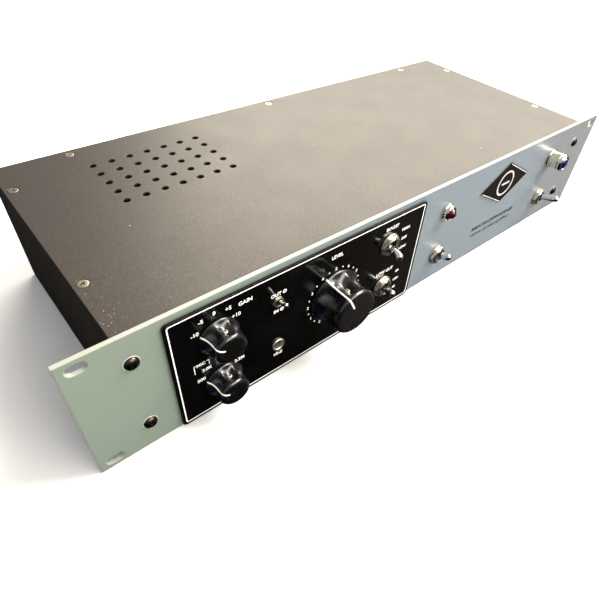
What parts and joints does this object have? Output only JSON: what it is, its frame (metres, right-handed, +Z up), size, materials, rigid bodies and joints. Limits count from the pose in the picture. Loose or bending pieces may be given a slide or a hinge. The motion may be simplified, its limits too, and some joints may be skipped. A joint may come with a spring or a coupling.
{
  "type": "microphone preamp",
  "caption": "Two-unit rack microphone preamp: black folded-steel chassis, pale metal front panel, gloss black control plate, fluted knobs, bat toggles and jewel lamps.",
  "frame": {"origin": "centre of the bounding box at its bottom face, the underside of the chassis", "axes": "+X along the front panel to its right-hand end as seen from the front, -Y out of the front panel, +Z up"},
  "size_m": [0.4826, 0.2098, 0.0881],
  "materials": {
    "silver_panel": "satin, pale grey-green",
    "black_plate": "high gloss with white legends",
    "badge_plate": "gloss with a silver border",
    "black_steel": "fine-textured satin black",
    "bakelite": "polished, white pointer line",
    "chrome": "polished",
    "nickel": "nickel plate",
    "black_screw": "black oxide",
    "zinc_screw": "bright zinc",
    "red_lens": "dark red, unlit",
    "blue_lens": "dark blue jewel, unlit",
    "black_plastic": "moulded",
    "board_green": "fibreglass board",
    "tube_glass": "clear",
    "lamination": "varnished laminations"
  },
  "bodies": {
    "chassis": {"front_panel": "silver_panel", "control_plate": "black_plate", "badge": "badge_plate", "chassis_tray": "black_steel", "top_lid": "black_steel", "rear_panel": "black_steel", "lid_screw_front_left": "zinc_screw", "lid_screw_front_right": "zinc_screw", "lid_screw_side_left": "zinc_screw", "lid_screw_side_right": "zinc_screw", "lid_screw_rear_left": "zinc_screw", "lid_screw_rear_middle": "zinc_screw", "lid_screw_rear_right": "zinc_screw", "panel_screw_lower_left": "black_screw", "panel_screw_lower_right": "black_screw", "panel_screw_upper_left": "black_screw", "panel_screw_upper_right": "black_screw", "gain_control_case": "nickel", "impedance_control_case": "nickel", "level_control_case": "nickel", "boost_nut": "chrome", "boost_washer": "chrome", "boost_switch_case": "black_plastic", "low_cut_nut": "chrome", "low_cut_washer": "chrome", "low_cut_switch_case": "black_plastic", "phantom_nut": "chrome", "phantom_washer": "chrome", "phantom_switch_case": "black_plastic", "power_nut": "chrome", "power_washer": "chrome", "power_switch_case": "black_plastic", "polarity_nut": "chrome", "polarity_switch_case": "black_plastic", "jack_ferrule": "nickel", "jack_case": "black_plastic", "phantom_lamp_bezel": "chrome", "phantom_lamp_lens": "red_lens", "power_lamp_bezel": "chrome", "power_lamp_lens": "blue_lens", "input_connector": "nickel", "output_connector": "nickel", "mains_inlet": "black_plastic", "circuit_board": "board_green", "input_tube": "tube_glass", "output_tube": "tube_glass", "power_transformer": "lamination", "output_transformer": "lamination", "input_transformer": "lamination"},
    "gain_control": {"gain_knob": "bakelite", "gain_shaft": "nickel"},
    "impedance_control": {"impedance_knob": "bakelite", "impedance_shaft": "nickel"},
    "level_control": {"level_knob": "bakelite", "level_shaft": "nickel"},
    "boost_toggle": {"boost_lever": "chrome"},
    "low_cut_toggle": {"low_cut_lever": "chrome"},
    "phantom_toggle": {"phantom_lever": "chrome"},
    "power_toggle": {"power_lever": "chrome"},
    "polarity_toggle": {"polarity_lever": "chrome"}
  },
  "joints": [
    {"name": "gain_turn", "type": "hinge", "parent": "chassis", "child": "gain_control", "pos_m": [-0.1643, -0.0819, 0.0604], "axis": [0, 1, 0], "range_deg": [0, 120]},
    {"name": "impedance_turn", "type": "hinge", "parent": "chassis", "child": "impedance_control", "pos_m": [-0.1645, -0.0819, 0.0233], "axis": [0, 1, 0], "range_deg": [0, 120]},
    {"name": "level_turn", "type": "hinge", "parent": "chassis", "child": "level_control", "pos_m": [-0.0803, -0.0819, 0.0431], "axis": [0, 1, 0], "range_deg": [-123.5, 176.5]},
    {"name": "boost_flip", "type": "hinge", "parent": "chassis", "child": "boost_toggle", "pos_m": [-0.0336, -0.0799, 0.063], "axis": [1, 0, 0], "range_deg": [-34, 0]},
    {"name": "low_cut_flip", "type": "hinge", "parent": "chassis", "child": "low_cut_toggle", "pos_m": [-0.0336, -0.0799, 0.026], "axis": [1, 0, 0], "range_deg": [-17, 17]},
    {"name": "phantom_flip", "type": "hinge", "parent": "chassis", "child": "phantom_toggle", "pos_m": [0.0297, -0.0799, 0.0242], "axis": [1, 0, 0], "range_deg": [0, 34]},
    {"name": "power_flip", "type": "hinge", "parent": "chassis", "child": "power_toggle", "pos_m": [0.1777, -0.0799, 0.0243], "axis": [1, 0, 0], "range_deg": [0, 34]},
    {"name": "polarity_flip", "type": "hinge", "parent": "chassis", "child": "polarity_toggle", "pos_m": [-0.1257, -0.0799, 0.0633], "axis": [1, 0, 0], "range_deg": [0, 26]}
  ]
}
